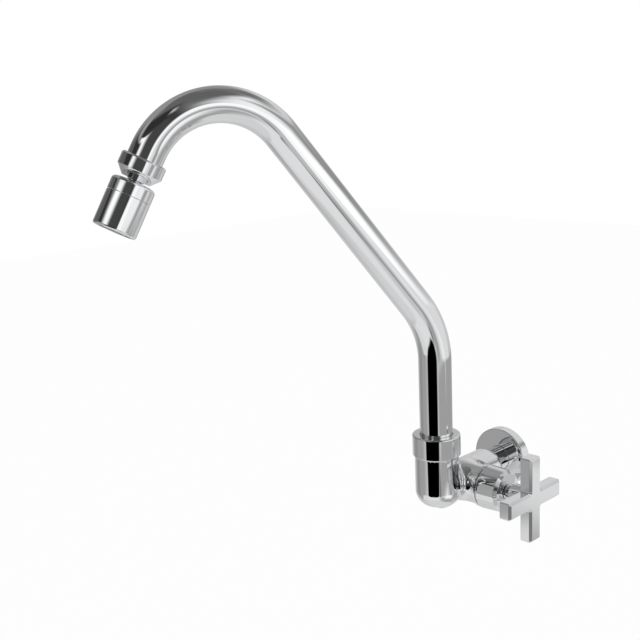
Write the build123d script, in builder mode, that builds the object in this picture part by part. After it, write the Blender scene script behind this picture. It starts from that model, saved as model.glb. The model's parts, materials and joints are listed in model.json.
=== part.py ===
from build123d import *
import os
from math import cos, radians, sin, sqrt

# Wall-mounted kitchen faucet with a swivelling high spout, a ball-jointed aerator and a cross
# handle. Millimetres and degrees. The wall is the plane y = 0 and the object stands out towards
# -Y; +X is the handle side and +Z is up. The origin is on the inlet axis at the wall.

# ---------------------------------------------------------------- driving dimensions: body
NECK_R = 8.6
INLET_THREAD_R = 8.33  # G 3/8 male
INLET_LENGTH = 16.0  # thread behind the wall plane
INLET_CHAMFER = 1.0
INLET_RELIEF_R = 7.6  # groove between neck and thread
INLET_RELIEF_WIDTH = 1.2
INLET_BORE_R = 5.0
SWIVEL_REACH = 79.5  # wall to the spout's swivel axis
VALVE_REACH = 51.8  # wall to the handle axis
VALVE_DROP = 3.1  # handle axis below the inlet axis
BARREL_FRONT_STEP = 2.6  # elbow's radius over the barrel's, at the swivel axis
BARREL_BACK_R = 14.5  # at the wall end
BARREL_FRONT_DROP = 1.0  # barrel's axis below the inlet axis, at the swivel axis
BARREL_BACK_DROP = 3.4  # the same at the wall end
BARREL_BACK_GAP = 18.4  # wall to the barrel's end face
BARREL_BACK_ROUND = 7.2
ELBOW_R = 15.0
ELBOW_BOTTOM_STEP = 0.1  # elbow's underside below the barrel's, at the swivel axis
ELBOW_BOTTOM_ROUND = 11.7
ELBOW_TOP = 23.0
ELBOW_BLEND_R = 6.0
SPIGOT_R = 14.2  # thread for the spout nut
SPIGOT_LENGTH = 9.7
BOSS_R = 13.9
BOSS_END = 21.4
BOSS_RIM_R = 14.9
BOSS_RIM_WIDTH = 2.2
BOSS_RIM_ROUND = 0.7
COVER_SPIGOT_R = 11.8  # thread for the bonnet cover
COVER_SPIGOT_LENGTH = 4.6
WATERWAY_R = 4.0
ELBOW_WATERWAY_R = 7.5

# ---------------------------------------------------------------- driving dimensions: flange
FLANGE_R = 21.6
FLANGE_THICKNESS = 7.4
FLANGE_FACE_WALL = 3.0
FLANGE_RIM_WALL = 1.8
FLANGE_HUB_WALL = 3.2
FLANGE_EDGE_ROUND = 0.6
FLANGE_SLIDE_GAP = 0.15
FLANGE_RING_R = 0.9  # section of the ring that grips the neck
GASKET_GAP = 0.4

# ---------------------------------------------------------------- driving dimensions: spout
TUBE_R = 11.1
TUBE_WALL = 1.2
LEG_TOP = 89.7  # height where the vertical leg starts to bend
LEG_BEND_R = 66.8
LEG_BEND_ANGLE = 36.4
SLANT_LENGTH = 143.6
ARCH_R = 48.5
ARCH_ANGLE = 115.0
TIP_LENGTH = 8.5  # straight end, partly inside the ball nut
SPOUT_SWING = -28.0  # from straight out, as stored; negative is the user's left
SPOUT_NUT_R = 16.4
SPOUT_NUT_LIP = 1.7
SPOUT_NUT_TOP_ROUND = 1.0
SPOUT_NUT_CHAMFER = 1.0
LIP_TUBE_GAP = 0.3
SHOULDER_R = 13.4
SHOULDER_HEIGHT = 2.4
TAIL_LENGTH = 18.0
TAIL_BORE_R = 7.5
PLUG_LENGTH = 12.0
SLIP_RING_HEIGHT = 1.0
SOCKET_R = 10.95
SOCKET_DEPTH = 19.8
TAIL_RING_R = 0.75  # section of the two rings on the tail
TAIL_RING_DEPTHS = (7.0, 13.5)  # below the shoulder

# ---------------------------------------------------------------- driving dimensions: valve
SEAT_X = 5.0
SEAT_BORE_R = 6.5
SEAT_CAVITY_DEPTH = 14.0
CARTRIDGE_R = 10.2
CAGE_R = 8.6
CAGE_END = 15.5
CARTRIDGE_FLANGE_R = 11.3
CARTRIDGE_FLANGE_HEIGHT = 1.5
CARTRIDGE_HEX = 19.0
CARTRIDGE_HEX_HEIGHT = 4.0
CARTRIDGE_NECK_R = 6.5
CARTRIDGE_NECK_HEIGHT = 3.1
CARTRIDGE_RING_R = 0.7
WINDOW_WIDTH = 7.0
WINDOW_HEIGHT = 3.0
SEAL_HEIGHT = 0.9
SEAL_WALL = 1.9
DISC_R = 7.1
DISC_HEIGHT = 2.5
DISC_PORT_R = 3.9
DISC_PORT_WIDTH = 2.8
DISC_PORT_ANGLE = 50.0
DISC_GAP = 0.1
TANG_WIDTH = 2.4
TANG_SPAN = 10.0
TANG_DEPTH = 1.1
DRIVER_LEG = 3.0
DRIVER_HEIGHT = 1.0
SPINDLE_R = 4.4
SPINDLE_END_R = 3.6
SPINDLE_END_LENGTH = 9.5
SPINDLE_RING_R = 0.5
SPINDLE_RING_STEPS = (5.0, 10.0)  # above the driver
CIRCLIP_R = 6.0
CIRCLIP_HEIGHT = 0.8
CIRCLIP_GAP_ANGLE = 60.0
CIRCLIP_GROOVE_R = 3.6
BONNET_GAP = 1.4  # boss rim to the bonnet cover
BONNET_BASE_R = 15.2
BONNET_FACE_R = 14.5
BONNET_LENGTH = 16.1
BONNET_FACE_WALL = 2.4
BONNET_CHAMFER = 2.0
BONNET_HOLE_R = 4.9

# ---------------------------------------------------------------- driving dimensions: handle
HUB_GAP = 0.4  # bonnet cover to hub
HUB_SLEEVE_R = 5.6
HUB_SLEEVE_LENGTH = 2.2
HUB_BASE_R = 6.9
HUB_TOP_R = 8.0
HUB_LENGTH = 13.8
CROSS_HALF_SPAN = 29.5
CROSS_ARM_WIDTH = 11.9
CROSS_THICKNESS = 8.7
CROSS_FRONT_CHAMFER = 1.6
CROSS_BACK_CHAMFER = 0.4
CROSS_CORNER_R = 1.2
GRUB_R = 2.0
GRUB_LENGTH = 4.0
GRUB_SOCKET = 2.0
GRUB_SOCKET_DEPTH = 1.5

# ---------------------------------------------------------------- driving dimensions: aerator
BALL_NUT_R = 14.0
BALL_NUT_SIDE = 7.0
BALL_NUT_CHAMFER = 1.0
BALL_NUT_CONE = 5.55
BALL_NUT_MOUTH_R = 9.0
BALL_NUT_TOP_WALL = 1.5
BALL_NUT_BORE_R = 12.4
BUSH_HEIGHT = 4.15
BUSH_TUBE_DEPTH = 1.6
BUSH_BORE_R = 6.2
BALL_DEPTH = 9.0  # ball nut's top to the ball's centre
BALL_R = 7.2
BALL_FLAT_RISE = 4.6  # ball's cut top above its centre
BALL_NECK_R = 4.2
BALL_NECK_END = 9.4  # from the ball's centre
BALL_BORE_R = 2.9
BALL_RING_R = 0.8
BALL_RING_RISE = 3.9  # ring above the ball's centre
SEAT_RING_HEIGHT = 1.8
AERATOR_LEAN = 6.5  # tilt of the housing as stored
HOUSING_R = 13.65
HOUSING_TOP = 5.9  # from the ball's centre
HOUSING_TOP_SLOPE = 0.8
HOUSING_SEAM = 15.4
HOUSING_END = 37.8
HOUSING_SHOULDER_R = 2.2
HOUSING_SEAM_GAP = 0.3
HOUSING_EDGE_ROUND = 1.5
HOUSING_WALL = 1.6
HOUSING_ROOF = 2.6
SHELL_SPIGOT_LENGTH = 4.0
SHELL_SPIGOT_WALL = 1.0
SHELL_MOUTH_WALL = 2.25
SHELL_MOUTH_DEPTH = 1.6
INSERT_RECESS = 2.0
INSERT_WALL = 1.0
INSERT_FLANGE_HEIGHT = 1.2
GRID_HEIGHT = 3.0
GRID_PITCH = 2.4
GRID_BAR = 0.6
GRID_COUNT = 9
WASHER_BORE_R = 5.4
SCREEN_HEIGHT = 3.0
SCREEN_WALL = 0.6
SCREEN_SLOT = 1.2
SCREEN_SLOTS = 8
MESH_THICKNESS = 0.4
MESH_PITCH = 3.2
MESH_BAR = 1.0
MESH_GRID_COUNT = 7
MESH_DEPTHS = (4.5, 6.5, 8.5)  # below the screen's rim

# ---------------------------------------------------------------- named clearances
RUNNING_GAP = 0.05  # shaft in its bore
SWIVEL_GAP = 0.3  # faces that slide past each other
THREAD_GAP = 0.1  # screwed joints, drawn without the thread
RING_GAP = 0.03  # seal against what it seals
BRAZE_GAP = 0.05
SAME_SIZE = 0.01  # two radii closer than this are the same edge's

# ---------------------------------------------------------------- frames and derived heights
inlet_axis = Axis((0, 0, 0), (0, 1, 0))
barrel_front_r = ELBOW_R - BARREL_FRONT_STEP
elbow_bottom = -(BARREL_FRONT_DROP + barrel_front_r + ELBOW_BOTTOM_STEP)
elbow_flat_r = ELBOW_R - ELBOW_BOTTOM_ROUND
elbow_round_z = elbow_bottom + ELBOW_BOTTOM_ROUND
barrel_front = Vector(0, -SWIVEL_REACH, -BARREL_FRONT_DROP)
barrel_run = Vector(0, -BARREL_BACK_GAP, -BARREL_BACK_DROP) - barrel_front
barrel_plane = Plane(barrel_front, x_dir=barrel_run.cross(Vector(1, 0, 0)), z_dir=(1, 0, 0))
barrel_axis = Axis(barrel_front, barrel_run)
swivel_plane = Plane((0, -SWIVEL_REACH, 0), x_dir=(1, 0, 0), z_dir=(0, -1, 0))
swivel_axis = Axis((0, -SWIVEL_REACH, 0), (0, 0, 1))
valve_plane = Plane((0, -VALVE_REACH, -VALVE_DROP), x_dir=(1, 0, 0), z_dir=(0, -1, 0))
valve_axis = Axis((0, -VALVE_REACH, -VALVE_DROP), (1, 0, 0))


def across_valve(x):
    """Plane square to the handle axis, x from the body's middle plane, facing the handle."""
    return Plane((x, -VALVE_REACH, -VALVE_DROP), x_dir=(0, 1, 0), z_dir=(1, 0, 0))


def round_edges(piece, radius):
    """Circular edges of the piece with this radius."""
    circles = piece.edges().filter_by(GeomType.CIRCLE)
    return circles.filter_by(lambda edge: abs(edge.radius - radius) < SAME_SIZE)


spigot_top = ELBOW_TOP + SPIGOT_LENGTH
shoulder_bottom = spigot_top + SWIVEL_GAP
tube_foot = shoulder_bottom + SHOULDER_HEIGHT
lip_bottom = tube_foot + SLIP_RING_HEIGHT + SWIVEL_GAP
tube_bore_r = TUBE_R - TUBE_WALL
tail_r = SOCKET_R - RUNNING_GAP
tail_groove_r = SOCKET_R - 2 * RING_GAP - 2 * TAIL_RING_R

cage_start = SEAT_X + SEAL_HEIGHT
disc_bore_r = DISC_R + THREAD_GAP
moving_disc_x = cage_start + DISC_HEIGHT + DISC_GAP
moving_disc_end = moving_disc_x + DISC_HEIGHT
driver_x = moving_disc_end + DRIVER_LEG
driver_end = driver_x + DRIVER_HEIGHT
cartridge_flange_x = BOSS_END + COVER_SPIGOT_LENGTH
bonnet_x = BOSS_END + BONNET_GAP
cartridge_hex_x = cartridge_flange_x + CARTRIDGE_FLANGE_HEIGHT
cartridge_neck_x = cartridge_hex_x + CARTRIDGE_HEX_HEIGHT
cartridge_end = cartridge_neck_x + CARTRIDGE_NECK_HEIGHT
pocket_r = CARTRIDGE_R + THREAD_GAP
spindle_bore_r = SPINDLE_R + RUNNING_GAP
spindle_groove_r = spindle_bore_r - 2 * RING_GAP - 2 * SPINDLE_RING_R
circlip_x = cartridge_end + SWIVEL_GAP
bonnet_face_x = bonnet_x + BONNET_LENGTH
hub_x = bonnet_face_x + HUB_GAP
cross_x = hub_x + HUB_LENGTH

spout_out = Vector(sin(radians(SPOUT_SWING)), -cos(radians(SPOUT_SWING)), 0)
spout_plane = Plane(swivel_plane.origin, x_dir=spout_out, z_dir=spout_out.cross(Vector(0, 0, 1)))
spout_side = -spout_plane.z_dir

# ---------------------------------------------------------------- valve body, one casting
with BuildPart() as valve_body:
    with BuildSketch(barrel_plane):
        with BuildLine():
            Polyline(
                (0, 0),
                (barrel_front_r, 0),
                (BARREL_BACK_R, barrel_run.length),
                (0, barrel_run.length),
                close=True,
            )
        make_face()
    revolve(axis=barrel_axis)
    fillet(valve_body.edges().sort_by(Axis.Y)[-1], BARREL_BACK_ROUND)
    # elbow: an upright barrel with a round underside, flowing into the other barrel
    with BuildSketch(swivel_plane):
        with BuildLine():
            Polyline((0, elbow_bottom), (elbow_flat_r, elbow_bottom))
            CenterArc((elbow_flat_r, elbow_round_z), ELBOW_BOTTOM_ROUND, -90, 90)
            Polyline(
                (ELBOW_R, elbow_round_z),
                (ELBOW_R, ELBOW_TOP),
                (0, ELBOW_TOP),
                (0, elbow_bottom),
            )
        make_face()
    revolve(axis=swivel_axis)
    crotch = [
        edge
        for edge in valve_body.edges(Select.NEW)
        if edge.geom_type not in (GeomType.LINE, GeomType.CIRCLE)
    ]
    fillet(crotch, ELBOW_BLEND_R)
    # boss for the valve, with a rim where the cover meets it
    with BuildSketch(valve_plane):
        with BuildLine():
            Polyline(
                (0, 0),
                (0, BOSS_R),
                (BOSS_END - BOSS_RIM_WIDTH / 2, BOSS_R),
                (BOSS_END - BOSS_RIM_WIDTH / 2, COVER_SPIGOT_R),
                (cartridge_flange_x, COVER_SPIGOT_R),
                (cartridge_flange_x, 0),
                close=True,
            )
        make_face()
        with Locations((BOSS_END - BOSS_RIM_WIDTH / 2, BOSS_RIM_R / 2)):
            RectangleRounded(BOSS_RIM_WIDTH, BOSS_RIM_R, BOSS_RIM_ROUND)
    revolve(axis=valve_axis)
    # neck, run-out groove and inlet thread
    with BuildSketch():
        with BuildLine():
            Polyline(
                (0, -BARREL_BACK_GAP - BARREL_BACK_ROUND),
                (NECK_R, -BARREL_BACK_GAP - BARREL_BACK_ROUND),
                (NECK_R, -INLET_RELIEF_WIDTH),
                (INLET_RELIEF_R, -INLET_RELIEF_WIDTH),
                (INLET_RELIEF_R, 0),
                (INLET_THREAD_R, 0),
                (INLET_THREAD_R, INLET_LENGTH - INLET_CHAMFER),
                (INLET_THREAD_R - INLET_CHAMFER, INLET_LENGTH),
                (0, INLET_LENGTH),
                close=True,
            )
        make_face()
    revolve(axis=Axis.Y)
    # spigot for the spout nut
    with BuildSketch(Plane((0, -SWIVEL_REACH, ELBOW_TOP))):
        Circle(SPIGOT_R)
    extrude(amount=SPIGOT_LENGTH)
    # waterways: inlet, seat cavity, valve pocket, passage to the elbow, elbow, spout socket
    with BuildSketch(Plane((0, INLET_LENGTH, 0), z_dir=(0, -1, 0))):
        Circle(INLET_BORE_R)
    extrude(amount=INLET_LENGTH + VALVE_REACH, mode=Mode.SUBTRACT)
    with BuildSketch(across_valve(SEAT_X - SEAT_CAVITY_DEPTH)):
        Circle(SEAT_BORE_R)
    extrude(amount=SEAT_CAVITY_DEPTH, mode=Mode.SUBTRACT)
    with BuildSketch(across_valve(SEAT_X)):
        Circle(pocket_r)
    extrude(amount=cartridge_flange_x - SEAT_X, mode=Mode.SUBTRACT)
    passage_start = Vector((SEAT_X + CAGE_END) / 2, -VALVE_REACH, -VALVE_DROP)
    passage_end = Vector(0, -SWIVEL_REACH, 0)
    with BuildSketch(Plane(passage_start, z_dir=passage_end - passage_start)):
        Circle(WATERWAY_R)
    extrude(amount=(passage_end - passage_start).length, mode=Mode.SUBTRACT)
    with BuildSketch(Plane((0, -SWIVEL_REACH, -WATERWAY_R))):
        Circle(ELBOW_WATERWAY_R)
    extrude(amount=spigot_top, mode=Mode.SUBTRACT)
    with BuildSketch(Plane((0, -SWIVEL_REACH, spigot_top - SOCKET_DEPTH))):
        Circle(SOCKET_R)
    extrude(amount=SOCKET_DEPTH, mode=Mode.SUBTRACT)

# ---------------------------------------------------------------- wall flange and its seals
flange_bore_r = NECK_R + FLANGE_SLIDE_GAP
flange_hub_r = flange_bore_r + FLANGE_HUB_WALL
flange_recess = FLANGE_THICKNESS - FLANGE_FACE_WALL
flange_ring_y = -FLANGE_THICKNESS / 2
flange_groove_r = NECK_R + 2 * RING_GAP + 2 * FLANGE_RING_R

with BuildPart() as wall_flange:
    with BuildSketch(Plane.XZ):
        Circle(FLANGE_R)
        Circle(flange_bore_r, mode=Mode.SUBTRACT)
    extrude(amount=FLANGE_THICKNESS)
    front_rim = wall_flange.edges().group_by(Axis.Y)[0].sort_by(SortBy.RADIUS)[-1]
    fillet(front_rim, FLANGE_EDGE_ROUND)
    with BuildSketch(Plane.XZ):
        Circle(FLANGE_R - FLANGE_RIM_WALL)
        Circle(flange_hub_r, mode=Mode.SUBTRACT)
    extrude(amount=flange_recess, mode=Mode.SUBTRACT)
    with BuildSketch(Plane.XZ.offset(-flange_ring_y - FLANGE_RING_R - RING_GAP)):
        Circle(flange_groove_r)
    extrude(amount=2 * (FLANGE_RING_R + RING_GAP), mode=Mode.SUBTRACT)

with BuildPart() as flange_o_ring:
    with BuildSketch(Plane.XY):
        with Locations((NECK_R + RING_GAP + FLANGE_RING_R, flange_ring_y)):
            Circle(FLANGE_RING_R)
    revolve(axis=inlet_axis)

with BuildPart() as flange_gasket:
    with BuildSketch(Plane.XZ):
        Circle(FLANGE_R - FLANGE_RIM_WALL - GASKET_GAP)
        Circle(flange_hub_r + GASKET_GAP, mode=Mode.SUBTRACT)
    extrude(amount=flange_recess)

# ---------------------------------------------------------------- spout nut
spout_nut_top = lip_bottom + SPOUT_NUT_LIP
with BuildPart() as spout_nut:
    with BuildSketch(Plane((0, -SWIVEL_REACH, ELBOW_TOP))):
        Circle(SPOUT_NUT_R)
    extrude(amount=spout_nut_top - ELBOW_TOP)
    fillet(spout_nut.edges().sort_by(Axis.Z)[-1], SPOUT_NUT_TOP_ROUND)
    chamfer(spout_nut.edges().sort_by(Axis.Z)[0], SPOUT_NUT_CHAMFER)
    with BuildSketch(Plane((0, -SWIVEL_REACH, ELBOW_TOP))):
        Circle(SPIGOT_R + THREAD_GAP)
    extrude(amount=lip_bottom - ELBOW_TOP, mode=Mode.SUBTRACT)
    with BuildSketch(Plane((0, -SWIVEL_REACH, lip_bottom))):
        Circle(TUBE_R + LIP_TUBE_GAP)
    extrude(amount=SPOUT_NUT_LIP, mode=Mode.SUBTRACT)

# ---------------------------------------------------------------- spout tube
with BuildPart() as spout_tube:
    with BuildLine(spout_plane) as spout_path:
        leg = Line((0, tube_foot), (0, LEG_TOP))
        leg_bend = JernArc(leg @ 1, leg % 1, LEG_BEND_R, -LEG_BEND_ANGLE)
        slant = Line(leg_bend @ 1, leg_bend @ 1 + (leg_bend % 1) * SLANT_LENGTH)
        arch = JernArc(slant @ 1, slant % 1, ARCH_R, -ARCH_ANGLE)
        tip = Line(arch @ 1, arch @ 1 + (arch % 1) * TIP_LENGTH)
    with BuildSketch(Plane(leg @ 0, z_dir=(0, 0, 1))):
        Circle(TUBE_R)
        Circle(tube_bore_r, mode=Mode.SUBTRACT)
    sweep(path=spout_path.line)

# ---------------------------------------------------------------- foot of the spout
with BuildPart() as spout_ferrule:
    with BuildSketch(swivel_plane):
        with BuildLine():
            Polyline(
                (TAIL_BORE_R, shoulder_bottom - TAIL_LENGTH),
                (tail_r, shoulder_bottom - TAIL_LENGTH),
                (tail_r, shoulder_bottom),
                (SHOULDER_R, shoulder_bottom),
                (SHOULDER_R, tube_foot),
                (tube_bore_r - BRAZE_GAP, tube_foot),
                (tube_bore_r - BRAZE_GAP, tube_foot + PLUG_LENGTH),
                (TAIL_BORE_R, tube_foot + PLUG_LENGTH),
                close=True,
            )
        make_face()
        for depth in TAIL_RING_DEPTHS:
            with Locations((tail_groove_r, shoulder_bottom - depth)):
                Rectangle(
                    SOCKET_R - tail_groove_r,
                    2 * (TAIL_RING_R + RING_GAP),
                    align=(Align.MIN, Align.CENTER),
                    mode=Mode.SUBTRACT,
                )
    revolve(axis=swivel_axis)

with BuildPart() as spout_o_rings:
    with BuildSketch(swivel_plane):
        for depth in TAIL_RING_DEPTHS:
            with Locations((SOCKET_R - RING_GAP - TAIL_RING_R, shoulder_bottom - depth)):
                Circle(TAIL_RING_R)
    revolve(axis=swivel_axis)

with BuildPart() as spout_slip_ring:
    with BuildSketch(Plane((0, -SWIVEL_REACH, tube_foot))):
        Circle(SHOULDER_R)
        Circle(TUBE_R + THREAD_GAP, mode=Mode.SUBTRACT)
    extrude(amount=SLIP_RING_HEIGHT)

# ---------------------------------------------------------------- quarter-turn cartridge
with BuildPart() as seat_seal:
    with BuildSketch(across_valve(SEAT_X)):
        Circle(SEAT_BORE_R + SEAL_WALL)
        Circle(SEAT_BORE_R, mode=Mode.SUBTRACT)
    extrude(amount=SEAL_HEIGHT)

cartridge_ring_x = cartridge_flange_x - 2 * CARTRIDGE_RING_R
cartridge_groove_r = pocket_r - 2 * RING_GAP - 2 * CARTRIDGE_RING_R
with BuildPart() as cartridge_shell:
    with BuildSketch(valve_plane):
        with BuildLine():
            Polyline(
                (cage_start, disc_bore_r),
                (cage_start, CAGE_R),
                (CAGE_END, CAGE_R),
                (CAGE_END, CARTRIDGE_R),
                (cartridge_flange_x, CARTRIDGE_R),
                (cartridge_flange_x, CARTRIDGE_FLANGE_R),
                (cartridge_hex_x, CARTRIDGE_FLANGE_R),
                (cartridge_hex_x, CARTRIDGE_NECK_R),
                (cartridge_end, CARTRIDGE_NECK_R),
                (cartridge_end, spindle_bore_r),
                (driver_end + SWIVEL_GAP, spindle_bore_r),
                (driver_end + SWIVEL_GAP, disc_bore_r),
                close=True,
            )
        make_face()
        with Locations((cartridge_ring_x, cartridge_groove_r)):
            Rectangle(
                2 * (CARTRIDGE_RING_R + RING_GAP),
                pocket_r - cartridge_groove_r,
                align=(Align.CENTER, Align.MIN),
                mode=Mode.SUBTRACT,
            )
    revolve(axis=valve_axis)
    with BuildSketch(across_valve(cartridge_hex_x)):
        RegularPolygon(CARTRIDGE_HEX / 2, 6, major_radius=False)
        Circle(CARTRIDGE_NECK_R - THREAD_GAP, mode=Mode.SUBTRACT)
    extrude(amount=CARTRIDGE_HEX_HEIGHT)
    with BuildSketch(across_valve(moving_disc_end)):
        Rectangle(WINDOW_WIDTH, 2 * CARTRIDGE_R)
    extrude(amount=WINDOW_HEIGHT, mode=Mode.SUBTRACT)

with BuildPart() as cartridge_o_ring:
    with BuildSketch(valve_plane):
        with Locations((cartridge_ring_x, pocket_r - RING_GAP - CARTRIDGE_RING_R)):
            Circle(CARTRIDGE_RING_R)
    revolve(axis=valve_axis)

port_arc = CenterArc((0, 0), DISC_PORT_R, -DISC_PORT_ANGLE / 2, DISC_PORT_ANGLE)
with BuildPart() as fixed_disc:
    with BuildSketch(across_valve(cage_start)):
        Circle(DISC_R)
        with PolarLocations(0, 2):
            SlotArc(port_arc, DISC_PORT_WIDTH, mode=Mode.SUBTRACT)
    extrude(amount=DISC_HEIGHT)

with BuildPart() as moving_disc:
    with BuildSketch(across_valve(moving_disc_x)):
        Circle(DISC_R - THREAD_GAP)
        with PolarLocations(0, 2, start_angle=90):
            SlotArc(port_arc, DISC_PORT_WIDTH, mode=Mode.SUBTRACT)
    extrude(amount=DISC_HEIGHT)
    with BuildSketch(across_valve(moving_disc_end - TANG_DEPTH)):
        Rectangle(TANG_SPAN + 2 * THREAD_GAP, TANG_WIDTH + 2 * THREAD_GAP)
    extrude(amount=TANG_DEPTH, mode=Mode.SUBTRACT)

# ---------------------------------------------------------------- spindle
spindle_grooves = [
    (circlip_x - RING_GAP, CIRCLIP_HEIGHT + 2 * RING_GAP, CIRCLIP_GROOVE_R),
] + [
    (driver_end + step - SPINDLE_RING_R - RING_GAP, 2 * (SPINDLE_RING_R + RING_GAP), spindle_groove_r)
    for step in SPINDLE_RING_STEPS
]
with BuildPart() as spindle:
    with BuildSketch(valve_plane):
        with BuildLine():
            Polyline(
                (driver_x, 0),
                (driver_x, DISC_R - 2 * THREAD_GAP),
                (driver_end, DISC_R - 2 * THREAD_GAP),
                (driver_end, SPINDLE_R),
                (hub_x, SPINDLE_R),
                (hub_x, SPINDLE_END_R),
                (hub_x + SPINDLE_END_LENGTH, SPINDLE_END_R),
                (hub_x + SPINDLE_END_LENGTH, 0),
                close=True,
            )
        make_face()
        for groove_x, groove_width, groove_r in spindle_grooves:
            with Locations((groove_x, groove_r)):
                Rectangle(
                    groove_width,
                    SPINDLE_R - groove_r,
                    align=(Align.MIN, Align.MIN),
                    mode=Mode.SUBTRACT,
                )
    revolve(axis=valve_axis)
    with BuildSketch(across_valve(moving_disc_end - TANG_DEPTH)):
        Rectangle(TANG_SPAN, TANG_WIDTH)
    extrude(amount=TANG_DEPTH + DRIVER_LEG)

with BuildPart() as spindle_o_rings:
    with BuildSketch(valve_plane):
        for step in SPINDLE_RING_STEPS:
            with Locations((driver_end + step, spindle_bore_r - RING_GAP - SPINDLE_RING_R)):
                Circle(SPINDLE_RING_R)
    revolve(axis=valve_axis)

with BuildPart() as spindle_circlip:
    with BuildSketch(valve_plane):
        with Locations((circlip_x, CIRCLIP_GROOVE_R + RING_GAP)):
            Rectangle(
                CIRCLIP_HEIGHT,
                CIRCLIP_R - CIRCLIP_GROOVE_R - RING_GAP,
                align=(Align.MIN, Align.MIN),
            )
    revolve(axis=valve_axis, revolution_arc=360 - CIRCLIP_GAP_ANGLE)

# ---------------------------------------------------------------- bonnet cover
with BuildPart() as bonnet_cover:
    with BuildSketch(valve_plane):
        with BuildLine():
            Polyline(
                (bonnet_x, COVER_SPIGOT_R + THREAD_GAP),
                (bonnet_x, BONNET_BASE_R),
                (bonnet_face_x, BONNET_FACE_R),
                (bonnet_face_x, BONNET_HOLE_R),
                (bonnet_face_x - BONNET_FACE_WALL, BONNET_HOLE_R),
                (bonnet_face_x - BONNET_FACE_WALL, COVER_SPIGOT_R + THREAD_GAP),
                close=True,
            )
        make_face()
    revolve(axis=valve_axis)
    face_rim = bonnet_cover.edges().group_by(Axis.X)[-1].sort_by(SortBy.RADIUS)[-1]
    chamfer(face_rim, BONNET_CHAMFER)

# ---------------------------------------------------------------- cross handle
grub_x = hub_x + HUB_LENGTH / 2
with BuildPart() as handle_cross:
    with BuildSketch(across_valve(cross_x)) as cross_outline:
        Rectangle(2 * CROSS_HALF_SPAN, CROSS_ARM_WIDTH)
        Rectangle(CROSS_ARM_WIDTH, 2 * CROSS_HALF_SPAN)
        fillet(cross_outline.vertices().sort_by_distance((0, 0, 0))[:4], CROSS_CORNER_R)
    extrude(amount=CROSS_THICKNESS)
    chamfer(handle_cross.edges().group_by(Axis.X)[-1], CROSS_FRONT_CHAMFER)
    chamfer(handle_cross.edges().group_by(Axis.X)[0], CROSS_BACK_CHAMFER)
    with BuildSketch(valve_plane):
        with BuildLine():
            Polyline(
                (hub_x, 0),
                (hub_x, HUB_SLEEVE_R),
                (hub_x + HUB_SLEEVE_LENGTH, HUB_SLEEVE_R),
                (hub_x + HUB_SLEEVE_LENGTH, HUB_BASE_R),
                (cross_x + CROSS_BACK_CHAMFER, HUB_TOP_R),
                (cross_x + CROSS_BACK_CHAMFER, 0),
                close=True,
            )
        make_face()
    revolve(axis=valve_axis)
    with BuildSketch(across_valve(hub_x)):
        Circle(SPINDLE_END_R + RUNNING_GAP)
    extrude(amount=SPINDLE_END_LENGTH + RUNNING_GAP, mode=Mode.SUBTRACT)
    with BuildSketch(Plane((grub_x, -VALVE_REACH, -VALVE_DROP), z_dir=(0, 0, -1))):
        Circle(GRUB_R + THREAD_GAP)
    extrude(amount=HUB_TOP_R, mode=Mode.SUBTRACT)

with BuildPart() as handle_grub_screw:
    grub_top = -VALVE_DROP - SPINDLE_END_R
    with BuildSketch(Plane((grub_x, -VALVE_REACH, grub_top), z_dir=(0, 0, -1))):
        Circle(GRUB_R)
    extrude(amount=GRUB_LENGTH)
    with BuildSketch(Plane((grub_x, -VALVE_REACH, grub_top - GRUB_LENGTH), z_dir=(0, 0, 1))):
        RegularPolygon(GRUB_SOCKET / 2, 6, major_radius=False)
    extrude(amount=GRUB_SOCKET_DEPTH, mode=Mode.SUBTRACT)

# ---------------------------------------------------------------- frames at the spout's end
bush_top = BALL_NUT_TOP_WALL + SWIVEL_GAP
bush_seat = bush_top + BUSH_TUBE_DEPTH
tip_down = tip % 1
nut_top = tip @ 1 - tip_down * bush_seat
nut_plane = Plane(nut_top, x_dir=spout_side, z_dir=spout_side.cross(tip_down))
nut_axis = Axis(nut_top, tip_down)
ball_centre = nut_top + tip_down * BALL_DEPTH
tilt_axis = tip_down.cross(spout_side)
lean = radians(AERATOR_LEAN)
housing_down = tip_down * cos(lean) + spout_side * sin(lean)
housing_side = spout_side * cos(lean) - tip_down * sin(lean)
housing_plane = Plane(ball_centre, x_dir=housing_side, z_dir=housing_side.cross(housing_down))
housing_axis = Axis(ball_centre, housing_down)


def across_housing(depth):
    """Plane square to the housing's axis, depth below the ball's centre, facing down."""
    return Plane(ball_centre + housing_down * depth, x_dir=housing_side, z_dir=housing_down)


# ---------------------------------------------------------------- ball nut and what it holds
nut_side_end = BALL_NUT_CHAMFER + BALL_NUT_SIDE
nut_end = nut_side_end + BALL_NUT_CONE
bush_end = bush_top + BUSH_HEIGHT
bush_r = BALL_NUT_BORE_R - THREAD_GAP
seat_ring_top = bush_end + RUNNING_GAP
seat_ring_end = seat_ring_top + SEAT_RING_HEIGHT
ball_seat_r = BALL_R + RUNNING_GAP
ball_ring_depth = BALL_DEPTH - BALL_RING_RISE
ball_ring_r = sqrt((BALL_R + RING_GAP + BALL_RING_R) ** 2 - BALL_RING_RISE**2)
ball_ring_room = BALL_RING_R + RUNNING_GAP

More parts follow.
